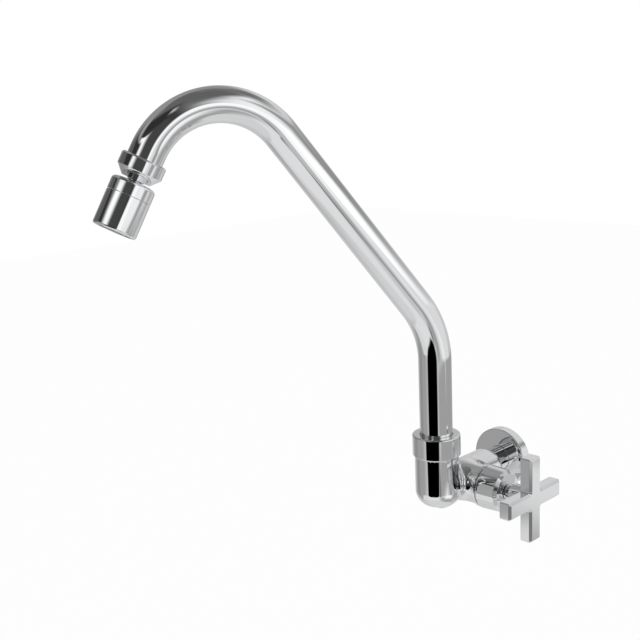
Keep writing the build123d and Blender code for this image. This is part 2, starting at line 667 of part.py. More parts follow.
with BuildPart() as aerator_ball_nut:
    with BuildSketch(nut_plane):
        with BuildLine():
            Polyline(
                (TUBE_R + LIP_TUBE_GAP, 0),
                (BALL_NUT_R - BALL_NUT_CHAMFER, 0),
                (BALL_NUT_R, BALL_NUT_CHAMFER),
                (BALL_NUT_R, nut_side_end),
                (BALL_NUT_MOUTH_R, nut_end),
                (0, nut_end),
                (0, BALL_DEPTH),
                (ball_seat_r, BALL_DEPTH),
                (ball_seat_r, seat_ring_end + RUNNING_GAP),
                (BALL_NUT_BORE_R, seat_ring_end + RUNNING_GAP),
                (BALL_NUT_BORE_R, BALL_NUT_TOP_WALL),
                (TUBE_R + LIP_TUBE_GAP, BALL_NUT_TOP_WALL),
                close=True,
            )
        make_face()
    revolve(axis=nut_axis)
    add(Pos(ball_centre) * Sphere(ball_seat_r, mode=Mode.PRIVATE), mode=Mode.SUBTRACT)

with BuildPart() as spout_end_bush:
    with BuildSketch(nut_plane):
        with BuildLine():
            Polyline(
                (TUBE_R + BRAZE_GAP, bush_top),
                (bush_r, bush_top),
                (bush_r, bush_end),
                (ball_ring_r + ball_ring_room, bush_end),
                (ball_ring_r + ball_ring_room, ball_ring_depth - ball_ring_room),
                (BUSH_BORE_R, ball_ring_depth - ball_ring_room),
                (BUSH_BORE_R, bush_seat),
                (TUBE_R + BRAZE_GAP, bush_seat),
                close=True,
            )
        make_face()
    revolve(axis=nut_axis)

with BuildPart() as ball_o_ring:
    with BuildSketch(nut_plane):
        with Locations((ball_ring_r, ball_ring_depth)):
            Circle(BALL_RING_R)
    revolve(axis=nut_axis)

with BuildPart() as ball_seat_ring:
    with BuildSketch(nut_plane):
        with BuildLine():
            Polyline(
                (0, seat_ring_top),
                (bush_r, seat_ring_top),
                (bush_r, seat_ring_end),
                (0, seat_ring_end),
                close=True,
            )
        make_face()
    revolve(axis=nut_axis)
    add(Pos(ball_centre) * Sphere(ball_seat_r, mode=Mode.PRIVATE), mode=Mode.SUBTRACT)

# ---------------------------------------------------------------- ball and aerator housing
ball_flat_r = sqrt(BALL_R**2 - BALL_FLAT_RISE**2)
ball_neck_start = sqrt(BALL_R**2 - BALL_NECK_R**2)
housing_bore_r = HOUSING_R - HOUSING_WALL
shell_spigot_r = housing_bore_r - THREAD_GAP
shell_bore_r = shell_spigot_r - SHELL_SPIGOT_WALL
shell_mouth_r = HOUSING_R - SHELL_MOUTH_WALL
shell_top = HOUSING_SEAM - SHELL_SPIGOT_LENGTH
roof_underside = HOUSING_TOP + HOUSING_ROOF
insert_top = shell_top - RUNNING_GAP - INSERT_FLANGE_HEIGHT
insert_end = HOUSING_END - INSERT_RECESS
insert_r = shell_bore_r - THREAD_GAP
insert_bore_r = insert_r - INSERT_WALL
screen_r = insert_bore_r - THREAD_GAP

with BuildPart() as swivel_ball:
    with BuildSketch(housing_plane):
        with BuildLine():
            ThreePointArc((ball_flat_r, -BALL_FLAT_RISE), (BALL_R, 0), (BALL_NECK_R, ball_neck_start))
            Polyline(
                (BALL_NECK_R, ball_neck_start),
                (BALL_NECK_R, BALL_NECK_END),
                (BALL_BORE_R, BALL_NECK_END),
                (BALL_BORE_R, -BALL_FLAT_RISE),
                (ball_flat_r, -BALL_FLAT_RISE),
            )
        make_face()
    revolve(axis=housing_axis)

with BuildPart() as aerator_cap:
    with BuildSketch(housing_plane):
        with BuildLine():
            Polyline(
                (BALL_NECK_R + THREAD_GAP, HOUSING_TOP),
                (HOUSING_R, HOUSING_TOP + HOUSING_TOP_SLOPE),
                (HOUSING_R, HOUSING_SEAM),
                (housing_bore_r, HOUSING_SEAM),
                (housing_bore_r, roof_underside),
                (BALL_NECK_R + THREAD_GAP, roof_underside),
                close=True,
            )
        make_face()
    revolve(axis=housing_axis)
    fillet(round_edges(aerator_cap, HOUSING_R).sort_by(housing_axis)[0], HOUSING_SHOULDER_R)

with BuildPart() as aerator_shell:
    with BuildSketch(housing_plane):
        with BuildLine():
            Polyline(
                (shell_bore_r, shell_top),
                (shell_spigot_r, shell_top),
                (shell_spigot_r, HOUSING_SEAM + HOUSING_SEAM_GAP),
                (HOUSING_R, HOUSING_SEAM + HOUSING_SEAM_GAP),
                (HOUSING_R, HOUSING_END),
                (shell_mouth_r, HOUSING_END),
                (shell_mouth_r, HOUSING_END - SHELL_MOUTH_DEPTH),
                (shell_bore_r, HOUSING_END - SHELL_MOUTH_DEPTH),
                close=True,
            )
        make_face()
    revolve(axis=housing_axis)
    fillet(round_edges(aerator_shell, HOUSING_R).sort_by(housing_axis)[-1], HOUSING_EDGE_ROUND)

with BuildPart() as aerator_gasket:
    with BuildSketch(across_housing(roof_underside)):
        Circle(housing_bore_r - THREAD_GAP)
        Circle(WASHER_BORE_R, mode=Mode.SUBTRACT)
    extrude(amount=insert_top - roof_underside)

with BuildPart() as aerator_insert:
    with BuildSketch(across_housing(insert_top)):
        Circle(shell_spigot_r)
    extrude(amount=INSERT_FLANGE_HEIGHT)
    with BuildSketch(across_housing(insert_top)):
        Circle(insert_r)
    extrude(amount=insert_end - insert_top)
    with BuildSketch(across_housing(insert_top)):
        Circle(insert_bore_r)
    extrude(amount=insert_end - GRID_HEIGHT - insert_top, mode=Mode.SUBTRACT)
    with BuildSketch(across_housing(insert_end - GRID_HEIGHT)):
        with GridLocations(GRID_PITCH, GRID_PITCH, GRID_COUNT, GRID_COUNT):
            Rectangle(GRID_PITCH - GRID_BAR, GRID_PITCH - GRID_BAR)
        Circle(insert_bore_r, mode=Mode.INTERSECT)
    extrude(amount=GRID_HEIGHT, mode=Mode.SUBTRACT)

# dome screen standing in the insert's mouth, slotted from its rim to near the crown
screen_rim = insert_top + INSERT_FLANGE_HEIGHT + SCREEN_HEIGHT
with BuildPart() as aerator_screen:
    with BuildSketch(housing_plane):
        with BuildLine():
            Polyline(
                (0, screen_rim - SCREEN_HEIGHT),
                (screen_r / 2, screen_rim - SCREEN_HEIGHT),
                (screen_r, screen_rim - SCREEN_WALL),
                (screen_r, screen_rim),
                (screen_r - SCREEN_WALL, screen_rim),
                (screen_r / 2, screen_rim - SCREEN_HEIGHT + SCREEN_WALL),
                (0, screen_rim - SCREEN_HEIGHT + SCREEN_WALL),
                close=True,
            )
        make_face()
    revolve(axis=housing_axis)
    with BuildSketch(across_housing(screen_rim - SCREEN_HEIGHT)):
        with PolarLocations(screen_r / 2, SCREEN_SLOTS):
            SlotOverall(screen_r / 2, SCREEN_SLOT)
    extrude(amount=SCREEN_HEIGHT, mode=Mode.SUBTRACT)

with BuildPart() as aerator_mesh_discs:
    for depth in MESH_DEPTHS:
        with BuildSketch(across_housing(screen_rim + depth)):
            Circle(screen_r)
            with BuildSketch(mode=Mode.SUBTRACT):
                with GridLocations(MESH_PITCH, MESH_PITCH, MESH_GRID_COUNT, MESH_GRID_COUNT):
                    Rectangle(MESH_PITCH - MESH_BAR, MESH_PITCH - MESH_BAR)
                Circle(screen_r - MESH_BAR, mode=Mode.INTERSECT)
        extrude(amount=MESH_THICKNESS)

# ---------------------------------------------------------------- write every piece
pieces = {
    "valve_body": valve_body,
    "wall_flange": wall_flange,
    "flange_o_ring": flange_o_ring,
    "flange_gasket": flange_gasket,
    "spout_nut": spout_nut,
    "spout_tube": spout_tube,
    "spout_ferrule": spout_ferrule,
    "spout_o_rings": spout_o_rings,
    "spout_slip_ring": spout_slip_ring,
    "seat_seal": seat_seal,
    "cartridge_shell": cartridge_shell,
    "cartridge_o_ring": cartridge_o_ring,
    "fixed_disc": fixed_disc,
    "moving_disc": moving_disc,
    "spindle": spindle,
    "spindle_o_rings": spindle_o_rings,
    "spindle_circlip": spindle_circlip,
    "bonnet_cover": bonnet_cover,
    "handle_cross": handle_cross,
    "handle_grub_screw": handle_grub_screw,
    "aerator_ball_nut": aerator_ball_nut,
    "spout_end_bush": spout_end_bush,
    "ball_o_ring": ball_o_ring,
    "ball_seat_ring": ball_seat_ring,
    "swivel_ball": swivel_ball,
    "aerator_cap": aerator_cap,
    "aerator_shell": aerator_shell,
    "aerator_gasket": aerator_gasket,
    "aerator_insert": aerator_insert,
    "aerator_screen": aerator_screen,
    "aerator_mesh_discs": aerator_mesh_discs,
}
os.makedirs("parts", exist_ok=True)
for name, piece in pieces.items():
    piece.part.label = name
    export_step(piece.part, f"parts/{name}.step")

print("ball centre", [round(v, 4) for v in ball_centre])
print("spout end direction", [round(v, 6) for v in tip_down])
print("aerator tilt axis", [round(v, 6) for v in tilt_axis])
print("spout reach from the swivel axis", round((nut_top - swivel_plane.origin).dot(spout_out), 2))
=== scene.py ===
import json
from itertools import product
from math import atan2, cos, pi, radians, sin, sqrt, tan

import bpy
import numpy as np
from mathutils import Matrix


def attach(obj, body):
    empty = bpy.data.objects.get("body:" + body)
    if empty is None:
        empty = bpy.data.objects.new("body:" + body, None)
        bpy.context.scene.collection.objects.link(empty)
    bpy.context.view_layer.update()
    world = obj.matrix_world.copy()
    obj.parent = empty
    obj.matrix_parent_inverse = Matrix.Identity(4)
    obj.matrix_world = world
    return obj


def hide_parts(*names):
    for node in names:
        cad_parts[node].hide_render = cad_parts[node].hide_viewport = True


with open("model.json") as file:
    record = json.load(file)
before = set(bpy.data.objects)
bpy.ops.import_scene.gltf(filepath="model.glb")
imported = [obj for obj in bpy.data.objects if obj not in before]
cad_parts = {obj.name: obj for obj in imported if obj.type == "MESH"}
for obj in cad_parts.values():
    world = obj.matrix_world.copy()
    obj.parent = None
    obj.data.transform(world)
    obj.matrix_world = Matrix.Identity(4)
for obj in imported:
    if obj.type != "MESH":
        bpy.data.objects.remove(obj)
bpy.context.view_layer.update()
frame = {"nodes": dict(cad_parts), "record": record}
nodes = frame["nodes"]
MM = 0.001

# Looks of a wall-mounted kitchen faucet. Every length below is in millimetres in the CAD's frame
# and becomes metres where a mesh is made: the wall is y = 0, -Y points out from it, +Z is up.
# The sizes that show are the CAD's. Hidden insides are simpler, and only close each mesh.

# ------------------------------------------------------------------ sizes: body
NECK_R = 8.6
NECK_END = 30.0  # inside the barrel
RELIEF_R = 7.6  # groove between neck and thread
RELIEF_WIDTH = 1.2
THREAD_R = 8.33
THREAD_PITCH = 1.337
THREAD_DEPTH = 0.86
THREAD_CHAMFER = 1.0
THREAD_FLANK = 2.6  # depth gained over one pitch of flank, in depths
THREAD_ROOT = 0.15  # share of the depth cut flat at the root
THREAD_FREE_DEPTH = 0.35  # share of the depth left at the free end
INLET_LENGTH = 16.0
INLET_BORE_R = 5.0
INLET_FACE_DROP = 0.98  # end face's edge under the thread's outside
INLET_BORE_DEPTH = 40.0  # out from the wall, where the bore's mesh is closed
INLET_BORE_TIP_R = 0.6
SWIVEL_REACH = 79.5  # wall to the spout's swivel axis
VALVE_REACH = 51.8  # wall to the handle's axis
VALVE_DROP = 3.1
BARREL_FRONT_R = 12.4
BARREL_FRONT_DROP = 1.0
BARREL_BACK_R = 14.5
BARREL_BACK_DROP = 3.4
BARREL_BACK_GAP = 18.4  # wall to the barrel's end
BARREL_BACK_ROUND = 7.2
ELBOW_R = 15.0
ELBOW_BOTTOM = -13.5
ELBOW_ROUND = 11.7
ELBOW_TOP = 23.0
ELBOW_BLEND = 6.0
BOSS_R = 13.9
BOSS_END = 21.4
BOSS_BLEND = 5.0
BOSS_CORE_R = 11.0  # inside the boss, where the rim's mesh starts
BOSS_RIM_R = 14.9
BOSS_RIM_WIDTH = 2.2
BOSS_RIM_ROUND = 0.7
COVER_SPIGOT_R = 12.0
COVER_SPIGOT_LENGTH = 4.0
CASTING_LOW = (-17, -97, -21)  # box round barrel, elbow and boss
CASTING_HIGH = (23, -15, 26)
CASTING_GRID = 0.62

# ------------------------------------------------------------------ sizes: flange, nut and cover
FLANGE_R = 21.6
FLANGE_THICKNESS = 7.4
FLANGE_RIM_WALL = 1.8
FLANGE_HUB_WALL = 3.2
FLANGE_FACE_WALL = 3.0
FLANGE_FACE_ROUND = 0.6
FLANGE_SLIDE_GAP = 0.15
SPOUT_NUT_R = 16.4
SPOUT_NUT_BORE_R = 14.3
SPOUT_NUT_TOP = 38.4
SPOUT_NUT_LIP = 1.7
SPOUT_NUT_EDGE = 1.0
BONNET_GAP = 1.4
BONNET_BASE_R = 15.2
BONNET_FACE_R = 14.5
BONNET_FACE_WALL = 2.4
BONNET_LENGTH = 16.1
BONNET_CHAMFER = 2.0
BONNET_HOLE_R = 4.9

# ------------------------------------------------------------------ sizes: spout
TUBE_R = 11.1
TUBE_WALL = 1.2
TUBE_FOOT = 37.0
TUBE_SEGMENTS = 144
LEG_TOP = 89.7
LEG_BEND_R = 66.8
LEG_BEND_ANGLE = 36.4
LEG_BEND_STEPS = 48
SLANT_LENGTH = 143.6
ARCH_R = 48.5
ARCH_ANGLE = 115.0
ARCH_STEPS = 128
TIP_LENGTH = 8.5
SPOUT_SWING = -28.0  # as stored; negative is the user's left

# ------------------------------------------------------------------ sizes: handle
HUB_GAP = 0.4
HUB_SLEEVE_R = 5.6
HUB_SLEEVE_LENGTH = 2.2
HUB_BASE_R = 6.9
HUB_TOP_R = 8.0
HUB_LENGTH = 13.8
HUB_CORE_R = 2.0  # where the hub's mesh is closed
HUB_OVERLAP = 0.5  # into the cross
CROSS_HALF_SPAN = 29.5
CROSS_ARM_WIDTH = 11.9
CROSS_THICKNESS = 8.7
CROSS_FRONT_CHAMFER = 1.6
CROSS_FRONT_ROUND = 0.18
CROSS_BACK_CHAMFER = 0.4
CROSS_CORNER_R = 1.2
CROSS_TIP_R = 1.2
CROSS_SMALLEST_TIP_R = 0.03
CROSS_CAP_INSET = 3.0  # where its flat front and back are closed

# ------------------------------------------------------------------ sizes: aerator
BALL_NUT_R = 14.0
BALL_NUT_SIDE = 7.0
BALL_NUT_CHAMFER = 1.0
BALL_NUT_CONE = 5.55
BALL_NUT_CONE_R = 9.0  # cone's small end
BALL_NUT_HOLE_R = 5.7
BALL_NUT_HOLE_WALL = 3.0
BALL_NUT_CAVITY_R = 7.0
BALL_NUT_ROOF = 3.0
BUSH_SEAT = 3.4  # spout's end inside the ball nut
BALL_DEPTH = 9.0  # ball nut's top to the ball's centre
BALL_R = 7.2
BALL_TOP_ANGLE = 0.7  # radians, the ball's cut top
BALL_END_ANGLE = pi - 0.6
BALL_POINTS = 40
BALL_NECK_R = 4.2
BALL_NECK_END = 9.4
BALL_NECK_CUT = 0.3  # ball's last point above its neck
BALL_NECK_STEP = 0.1
AERATOR_LEAN = 6.5
HOUSING_R = 13.65
HOUSING_TOP = 5.9
HOUSING_TOP_SLOPE = 0.8
HOUSING_ROOF = 2.6
HOUSING_BORE_R = 12.2
HOUSING_SHOULDER_R = 2.2
HOUSING_SEAM = 15.4
HOUSING_SEAM_GAP = 0.3
HOUSING_END = 37.8
HOUSING_EDGE_ROUND = 1.5
SHELL_SPIGOT_R = 11.9
SHELL_SPIGOT_LENGTH = 4.0
SHELL_MOUTH_R = 11.4
SHELL_MOUTH_DEPTH = 1.6
SHELL_BORE_R = 10.95

# ------------------------------------------------------------------ clearances and edge rounds
LIP_TUBE_GAP = 0.3
THREAD_GAP = 0.1
RUNNING_GAP = 0.05
HIDDEN, FINE, CRISP, EASED, SOFT, FULL, WIDE = 0.1, 0.15, 0.2, 0.25, 0.3, 0.35, 0.4

X, Y, Z = np.eye(3)

# ------------------------------------------------------------------ materials
# sockets of the mix node when it mixes colours
MIX_FACTOR, MIX_LOW, MIX_HIGH, MIX_RESULT = 0, 6, 7, 2
NOISE_DETAIL = 4.0
BUMP_HEIGHT = 0.0002  # metres


def material(name, colour, rough, metal=0.0, spread=0.05, scale=400.0, bump=0.0, rough_spread=0.03):
    """A Principled material whose colour and gloss wander a little with a fine noise."""
    mat = bpy.data.materials.new(name)
    mat.use_nodes = True
    tree, links = mat.node_tree, mat.node_tree.links
    shader = tree.nodes["Principled BSDF"]
    shader.inputs["Metallic"].default_value = metal
    coords = tree.nodes.new("ShaderNodeTexCoord")
    noise = tree.nodes.new("ShaderNodeTexNoise")
    noise.inputs["Scale"].default_value = scale
    noise.inputs["Detail"].default_value = NOISE_DETAIL
    links.new(coords.outputs["Object"], noise.inputs["Vector"])
    tint = tree.nodes.new("ShaderNodeMix")
    tint.data_type = "RGBA"
    low = [c * (1 - spread) for c in colour]
    high = [min(1.0, c * (1 + spread)) for c in colour]
    tint.inputs[MIX_LOW].default_value = (*low, 1)
    tint.inputs[MIX_HIGH].default_value = (*high, 1)
    links.new(noise.outputs["Fac"], tint.inputs[MIX_FACTOR])
    links.new(tint.outputs[MIX_RESULT], shader.inputs["Base Color"])
    span = tree.nodes.new("ShaderNodeMapRange")
    span.inputs["To Min"].default_value = max(0.0, rough - rough_spread)
    span.inputs["To Max"].default_value = rough + rough_spread
    links.new(noise.outputs["Fac"], span.inputs["Value"])
    links.new(span.outputs["Result"], shader.inputs["Roughness"])
    if bump:
        lift = tree.nodes.new("ShaderNodeBump")
        lift.inputs["Strength"].default_value = bump
        lift.inputs["Distance"].default_value = BUMP_HEIGHT
        links.new(noise.outputs["Fac"], lift.inputs["Height"])
        links.new(lift.outputs["Normal"], shader.inputs["Normal"])
    return mat


CHROME_COLOUR = (0.86, 0.865, 0.875)
CHROME_ROUGH = 0.035
finishes = {
    slot: material(slot, CHROME_COLOUR, CHROME_ROUGH, metal=1.0, spread=0.012, scale=60.0,
                   rough_spread=0.015)
    for slot in ("cast_chrome", "flange_chrome", "nut_chrome", "tube_chrome", "bonnet_chrome",
                 "handle_chrome", "aerator_chrome", "ball_chrome")
}
for slot, colour, rough, wander in (
        ("black_rubber", (0.025, 0.025, 0.026), 0.6, {"spread": 0.3, "scale": 900.0, "bump": 0.2}),
        ("brass", (0.78, 0.60, 0.30), 0.28, {"metal": 1.0, "scale": 300.0}),
        ("ceramic", (0.86, 0.85, 0.81), 0.18, {"spread": 0.02}),
        ("white_plastic", (0.80, 0.80, 0.77), 0.42, {"spread": 0.02, "bump": 0.05}),
        ("dark_plastic", (0.045, 0.046, 0.05), 0.38, {"spread": 0.2, "bump": 0.08}),
        ("steel", (0.55, 0.55, 0.55), 0.3, {"metal": 1.0, "spread": 0.08, "scale": 800.0})):
    finishes[slot] = material(slot, colour, rough, **wander)
for row in frame["record"]["subparts"]:
    slots = nodes[row["node"]].data.materials
    slots.clear()
    slots.append(finishes[row["material_slot"]])

# ------------------------------------------------------------------ mesh tools
LATHE_SEGMENTS = 160
LATHE_START = (0.3, 0.2, 0.9)  # side on which each turned mesh starts
ROUND_STEPS = 7
ROOM_SHARE = 0.99  # the most of a short side that its rounds may take
TINY = 1e-9


def unit(v):
    v = np.asarray(v, float)
    return v / np.linalg.norm(v)


def left_of(d):
    return np.array([-d[1], d[0]])


def rounded(points, closed=False, steps=ROUND_STEPS):
    """Points and normals of a profile of (along, out, round) corners, its outside on the left."""
    corners = [np.array(p[:2], float) for p in points]
    rounds = [p[2] if len(p) > 2 else 0.0 for p in points]
    count = len(corners)
    places, normals = [], []
    for i, corner in enumerate(corners):
        before = corners[i - 1] if closed or i else None
        after = corners[(i + 1) % count] if closed or i < count - 1 else None
        if before is None or after is None:
            places.append(corner)
            normals.append(left_of(unit(after - corner if before is None else corner - before)))
            continue
        d_in, d_out = unit(corner - before), unit(after - corner)
        turn = atan2(d_in[0] * d_out[1] - d_in[1] * d_out[0], float(d_in @ d_out))
        room = min(
            np.linalg.norm(corner - corners[j]) * rounds[i] / max(rounds[i] + rounds[j], TINY)
            for j in (i - 1, (i + 1) % count))
        back = min(rounds[i] * abs(tan(turn / 2)), ROOM_SHARE * room)
        start = corner - d_in * back
        radius = back / max(abs(tan(turn / 2)), TINY)
        n_in = left_of(d_in)
        centre = start + n_in * radius * np.sign(turn)
        for k in range(steps + 1):
            a = turn * k / steps
            n = np.array([cos(a) * n_in[0] - sin(a) * n_in[1], sin(a) * n_in[0] + cos(a) * n_in[1]])
            places.append(centre - n * radius * np.sign(turn))
            normals.append(n)
    return np.array(places), np.array(normals)


def around(axis, ref):
    """Two unit vectors square to the axis, the first nearest to ref."""
    u = unit(np.asarray(ref, float) - axis * float(np.dot(ref, axis)))
    return u, np.cross(axis, u)


def spokes(axis, ref, count):
    """Unit vectors square to the axis, evenly spaced round it, the first nearest to ref."""
    u, v = around(axis, ref)
    angles = np.arange(count) * 2 * pi / count
    return np.cos(angles)[:, None] * u + np.sin(angles)[:, None] * v


def grid_faces(rows, columns, wrap_rows=False):
    """Quads over rows of points that wrap round along the columns."""
    faces = []
    for i in range(rows if wrap_rows else rows - 1):
        lower, upper = i * columns, (i + 1) % rows * columns
        faces += [(lower + j, lower + (j + 1) % columns, upper + (j + 1) % columns, upper + j)
                  for j in range(columns)]
    return faces


def capped_faces(rows, columns):
    """The same, with one flat face over the last row and one over the first."""
    last = (rows - 1) * columns
    return grid_faces(rows, columns) + [tuple(range(last, last + columns)),
                                        tuple(range(columns - 1, -1, -1))]


def lathe(points, origin, axis, closed=False, steps=ROUND_STEPS):
    """A profile turned round an axis. An open profile gets a flat face at either end."""
    places, normals = rounded(points, closed, steps)
    spoke = spokes(axis, LATHE_START, LATHE_SEGMENTS)
    verts = origin + places[:, None, :1] * axis + places[:, None, 1:] * spoke
    norms = normals[:, None, :1] * axis + normals[:, None, 1:] * spoke
    if closed:
        faces = grid_faces(len(places), LATHE_SEGMENTS, wrap_rows=True)
    else:
        faces = capped_faces(len(places), LATHE_SEGMENTS)
    return verts.reshape(-1, 3), faces, norms.reshape(-1, 3)


def piece(name, parts, body, slot, node):
    """One chrome mesh from (points, faces, normals) parts, riding on a body in a node's place."""
    verts, faces, normals, start = [], [], [], 0
    for part_verts, part_faces, part_normals in parts:
        verts.append(part_verts)
        normals.append(part_normals)
        faces += [tuple(i + start for i in face) for face in part_faces]
        start += len(part_verts)
    mesh = bpy.data.meshes.new(name)
    mesh.from_pydata((np.concatenate(verts) * MM).tolist(), [], faces)
    mesh.update()
    mesh.polygons.foreach_set("use_smooth", [True] * len(mesh.polygons))
    all_normals = np.concatenate(normals)
    all_normals /= np.linalg.norm(all_normals, axis=1, keepdims=True)
    mesh.normals_split_custom_set_from_vertices(all_normals.tolist())
    mesh.materials.append(finishes[slot])
    obj = bpy.data.objects.new(name, mesh)
    bpy.context.scene.collection.objects.link(obj)
    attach(obj, body)
    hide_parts(node)


# ------------------------------------------------------------------ body casting
def blended(a, b, reach):
    """Distance to two solids joined with a soft fillet."""
    mix = np.clip(0.5 + 0.5 * (b - a) / reach, 0.0, 1.0)
    return b * (1 - mix) + a * mix - reach * mix * (1 - mix)


def round_corner(a, b, radius):
    """Distance to the corner between two sides, rounded."""
    a, b = a + radius, b + radius
    return np.hypot(np.maximum(a, 0), np.maximum(b, 0)) + np.minimum(np.maximum(a, b), 0) - radius


barrel_front = np.array([0.0, -SWIVEL_REACH, -BARREL_FRONT_DROP])
barrel_run = np.array([0.0, -BARREL_BACK_GAP, -BARREL_BACK_DROP]) - barrel_front
barrel_length = float(np.linalg.norm(barrel_run))
barrel_axis = barrel_run / barrel_length


def casting_distance(p):
    """Signed distance to the casting's outside: barrel, elbow and boss."""
    x, y, z = p[..., 0], p[..., 1], p[..., 2]
    # barrel, a slight cone with a round back end
    from_front = p - barrel_front
    along = from_front @ barrel_axis
    ring = np.linalg.norm(from_front - along[..., None] * barrel_axis, axis=-1)
    slope = (BARREL_BACK_R - BARREL_FRONT_R) / barrel_length
    side = (ring - BARREL_FRONT_R - slope * along) / sqrt(1 + slope**2)
    barrel = round_corner(side, along - barrel_length, BARREL_BACK_ROUND)
    barrel = np.maximum(barrel, -along)
    # elbow, upright with a round underside
    side = np.hypot(x, y + SWIVEL_REACH) - ELBOW_R
    elbow = np.maximum(round_corner(side, ELBOW_BOTTOM - z, ELBOW_ROUND), z - ELBOW_TOP)
    # boss for the valve, which ends inside its rim
    boss = np.hypot(y + VALVE_REACH, z + VALVE_DROP) - BOSS_R
    boss = np.maximum(np.maximum(boss, x - BOSS_END + BOSS_RIM_WIDTH / 2), -x)
    return blended(blended(barrel, elbow, ELBOW_BLEND), boss, BOSS_BLEND)


def slope_of(distance, p, step=0.02):
    """Unit gradient of a distance, which is the surface's outward normal."""
    grad = np.stack([distance(p + step * e) - distance(p - step * e) for e in np.eye(3)], axis=-1)
    return grad / np.linalg.norm(grad, axis=-1, keepdims=True)


def skin(distance, low, high, size, passes=6):
    """Smooth quad mesh of the surface where distance is 0."""
    axes = [np.arange(a, b + size, size) for a, b in zip(low, high)]
    inside = distance(np.stack(np.meshgrid(*axes, indexing="ij"), axis=-1)) < 0
    # one point in each cell that has corners on both sides, moved on to the surface
    shape = np.array(inside.shape) - 1
    total = np.zeros(shape, int)
    for dx, dy, dz in product((0, 1), repeat=3):
        total += inside[dx:dx + shape[0], dy:dy + shape[1], dz:dz + shape[2]]
    cells = np.argwhere((total > 0) & (total < 8))
    index = -np.ones(shape, int)
    index[tuple(cells.T)] = np.arange(len(cells))
    verts = np.array([axes[k][cells[:, k]] for k in range(3)]).T + size / 2
    for _ in range(passes):
        verts = verts - slope_of(distance, verts) * distance(verts)[:, None]
    # one quad round each grid line that crosses the surface
    faces = []
    for axis in range(3):
        b, c = (axis + 1) % 3, (axis + 2) % 3
        low_in = np.take(inside, range(inside.shape[axis] - 1), axis)
        high_in = np.take(inside, range(1, inside.shape[axis]), axis)
        crossing = np.argwhere(low_in != high_in)
        crossing = crossing[(crossing[:, b] > 0) & (crossing[:, c] > 0)]
        crossing = crossing[(crossing[:, b] < shape[b]) & (crossing[:, c] < shape[c])]
        flip = low_in[tuple(crossing.T)]
        quad = []
        for db, dc in ((1, 1), (0, 1), (0, 0), (1, 0)):
            cell = crossing.copy()
            cell[:, b] -= db
            cell[:, c] -= dc
            quad.append(index[tuple(cell.T)])
        quad = np.array(quad).T
        quad[~flip] = quad[~flip][:, ::-1]
        faces += [tuple(q) for q in quad.tolist()]
    return verts, faces, slope_of(distance, verts)


def thread(origin, axis, radius, length, segments=96, rows_per_turn=10):
    """Helical outside thread along the axis, run out at its start and chamfered at its end."""
    rows = int(length / THREAD_PITCH * rows_per_turn)
    along = np.linspace(0.0, length, rows)[:, None]
    phase = (along / THREAD_PITCH - np.arange(segments) / segments) % 1.0
    crest = np.clip(THREAD_FLANK * np.abs(phase - 0.5) - THREAD_ROOT, 0, 1)
    ease = (np.clip(along / THREAD_PITCH, 0, 1)
            * np.clip((length - along) / THREAD_PITCH + THREAD_FREE_DEPTH, THREAD_FREE_DEPTH, 1))
    chamfer = np.clip(along - length + THREAD_CHAMFER, 0, THREAD_CHAMFER)
    reach = np.minimum(radius - THREAD_DEPTH * (1 - crest) * ease, radius - chamfer)
    verts = origin + along[..., None] * axis + reach[..., None] * spokes(axis, Z, segments)
    d_turn = np.roll(verts, -1, 1) - np.roll(verts, 1, 1)
    normals = np.cross(d_turn, np.gradient(verts, axis=0))
    return verts.reshape(-1, 3), grid_faces(rows, segments), normals.reshape(-1, 3)


inlet = np.zeros(3)
valve = np.array([0.0, -VALVE_REACH, -VALVE_DROP])
swivel = np.array([0.0, -SWIVEL_REACH, 0.0])
rim_back = BOSS_END - BOSS_RIM_WIDTH
casting = skin(casting_distance, CASTING_LOW, CASTING_HIGH, CASTING_GRID)
boss_rim = lathe(
    [(rim_back, BOSS_CORE_R), (rim_back, BOSS_RIM_R, BOSS_RIM_ROUND),
     (BOSS_END, BOSS_RIM_R, BOSS_RIM_ROUND), (BOSS_END, COVER_SPIGOT_R, FINE),
     (BOSS_END + COVER_SPIGOT_LENGTH, COVER_SPIGOT_R)],
    valve, X)
neck = lathe(
    [(0.0, RELIEF_R), (RELIEF_WIDTH, RELIEF_R, CRISP), (RELIEF_WIDTH, NECK_R, CRISP),
     (NECK_END, NECK_R), (NECK_END, RELIEF_R)],
    inlet, -Y)
inlet_thread = thread(inlet, Y, THREAD_R, INLET_LENGTH)
inlet_bore = lathe(
    [(INLET_LENGTH, THREAD_R - INLET_FACE_DROP), (INLET_LENGTH, INLET_BORE_R, SOFT),
     (-INLET_BORE_DEPTH, INLET_BORE_R), (-INLET_BORE_DEPTH, INLET_BORE_TIP_R)],
    inlet, Y)
piece("body_casting", [casting, boss_rim, neck, inlet_thread, inlet_bore], "body", "cast_chrome",
      "valve_body")

# ------------------------------------------------------------------ flange, collar nut, bonnet
flange_bore = NECK_R + FLANGE_SLIDE_GAP
flange_hub = flange_bore + FLANGE_HUB_WALL
flange_recess = FLANGE_THICKNESS - FLANGE_FACE_WALL
flange = lathe(
    [(0, FLANGE_R - FLANGE_RIM_WALL, CRISP), (0, FLANGE_R, EASED),
     (FLANGE_THICKNESS, FLANGE_R, FLANGE_FACE_ROUND), (FLANGE_THICKNESS, flange_bore, CRISP),
     (0, flange_bore, CRISP), (0, flange_hub, CRISP), (flange_recess, flange_hub, CRISP),
     (flange_recess, FLANGE_R - FLANGE_RIM_WALL, CRISP)],
    inlet, -Y, closed=True)
piece("flange_plate", [flange], "body", "flange_chrome", "wall_flange")

